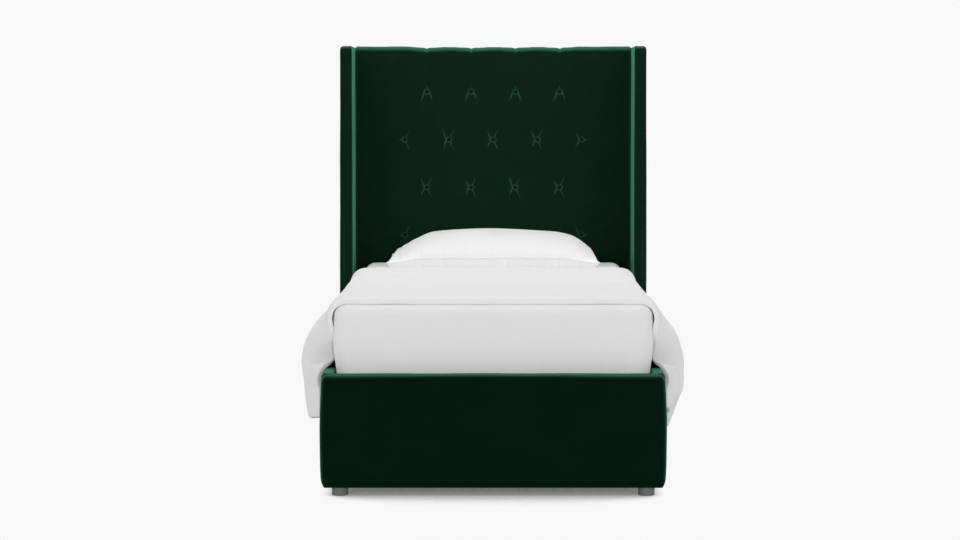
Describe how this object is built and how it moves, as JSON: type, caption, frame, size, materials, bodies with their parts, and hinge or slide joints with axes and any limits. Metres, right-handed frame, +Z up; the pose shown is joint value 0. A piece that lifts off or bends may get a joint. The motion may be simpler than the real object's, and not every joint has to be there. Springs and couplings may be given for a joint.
{
  "type": "wingback bed",
  "caption": "Upholstered bed with a tall diamond-tufted headboard, side wings, padded box base, slats, mattress, duvet and pillow.",
  "frame": {"origin": "on the floor, under the middle of the bed's overall box", "axes": "+Z up, +Y along the bed from the foot end towards the headboard, +X to the right seen from the foot end"},
  "size_m": [1.202, 2.055, 1.388],
  "materials": {
    "velvet": "deep green cut-pile velvet",
    "timber": "sawn pine, unfinished",
    "slat_timber": "planed pine, unfinished",
    "plywood": "sanded plywood",
    "twine": "waxed upholstery twine",
    "zinc_steel": "bright zinc plate",
    "black_steel": "black powder coat",
    "leg_plastic": "black moulded plastic",
    "leveller_plastic": "dark moulded plastic",
    "foot_plastic": "grey moulded plastic",
    "mattress_ticking": "quilted knit ticking",
    "white_cotton": "washed white cotton"
  },
  "bodies": {
    "bed_frame": {"headboard_stile_left": "timber", "headboard_stile_right": "timber", "headboard_top_rail": "timber", "headboard_middle_rail": "timber", "headboard_bottom_rail": "timber", "headboard_plywood": "plywood", "headboard_tufted_pad": "velvet", "headboard_back_cover": "velvet", "tuft_buttons": "velvet", "tuft_ties": "twine", "wing_core_left": "timber", "wing_core_right": "timber", "wing_cover_left": "velvet", "wing_cover_right": "velvet", "wing_bolts": "zinc_steel", "footboard_core": "timber", "footboard_cover": "velvet", "side_rail_core_left": "timber", "side_rail_core_right": "timber", "side_rail_cover_left": "velvet", "side_rail_cover_right": "velvet", "corner_bracket_front_left": "black_steel", "corner_bracket_front_right": "black_steel", "corner_bracket_rear_left": "black_steel", "corner_bracket_rear_right": "black_steel", "beam_bracket_front": "black_steel", "beam_bracket_rear": "black_steel", "bracket_bolts": "zinc_steel", "slat_ledge_left": "timber", "slat_ledge_right": "timber", "slat_01": "slat_timber", "slat_02": "slat_timber", "slat_03": "slat_timber", "slat_04": "slat_timber", "slat_05": "slat_timber", "slat_06": "slat_timber", "slat_07": "slat_timber", "slat_08": "slat_timber", "slat_09": "slat_timber", "slat_10": "slat_timber", "slat_11": "slat_timber", "slat_12": "slat_timber", "slat_screws": "zinc_steel", "ledge_screws": "zinc_steel", "foot_screws": "zinc_steel", "center_beam": "timber", "center_leg_front": "leg_plastic", "center_leg_middle": "leg_plastic", "center_leg_rear": "leg_plastic", "foot_front_left": "foot_plastic", "foot_front_right": "foot_plastic", "foot_rear_left": "foot_plastic", "foot_rear_right": "foot_plastic"},
    "mattress_body": {"mattress": "mattress_ticking", "fitted_sheet": "white_cotton"},
    "duvet_body": {"duvet": "white_cotton"},
    "pillow_body": {"pillow": "white_cotton"},
    "leveller_front_body": {"leveller_front": "leveller_plastic"},
    "leveller_middle_body": {"leveller_middle": "leveller_plastic"},
    "leveller_rear_body": {"leveller_rear": "leveller_plastic"}
  },
  "joints": [
    {"name": "mattress_lift", "type": "slide", "parent": "bed_frame", "child": "mattress_body", "axis": [0, 0, 1], "range_m": [0, 0.3]},
    {"name": "duvet_lift", "type": "slide", "parent": "mattress_body", "child": "duvet_body", "axis": [0, 0, 1], "range_m": [0, 0.4]},
    {"name": "pillow_lift", "type": "slide", "parent": "mattress_body", "child": "pillow_body", "axis": [0, 0, 1], "range_m": [0, 0.3]},
    {"name": "leveller_front_travel", "type": "slide", "parent": "bed_frame", "child": "leveller_front_body", "axis": [0, 0, -1], "range_m": [0, 0.015]},
    {"name": "leveller_middle_travel", "type": "slide", "parent": "bed_frame", "child": "leveller_middle_body", "axis": [0, 0, -1], "range_m": [0, 0.015]},
    {"name": "leveller_rear_travel", "type": "slide", "parent": "bed_frame", "child": "leveller_rear_body", "axis": [0, 0, -1], "range_m": [0, 0.015]}
  ]
}
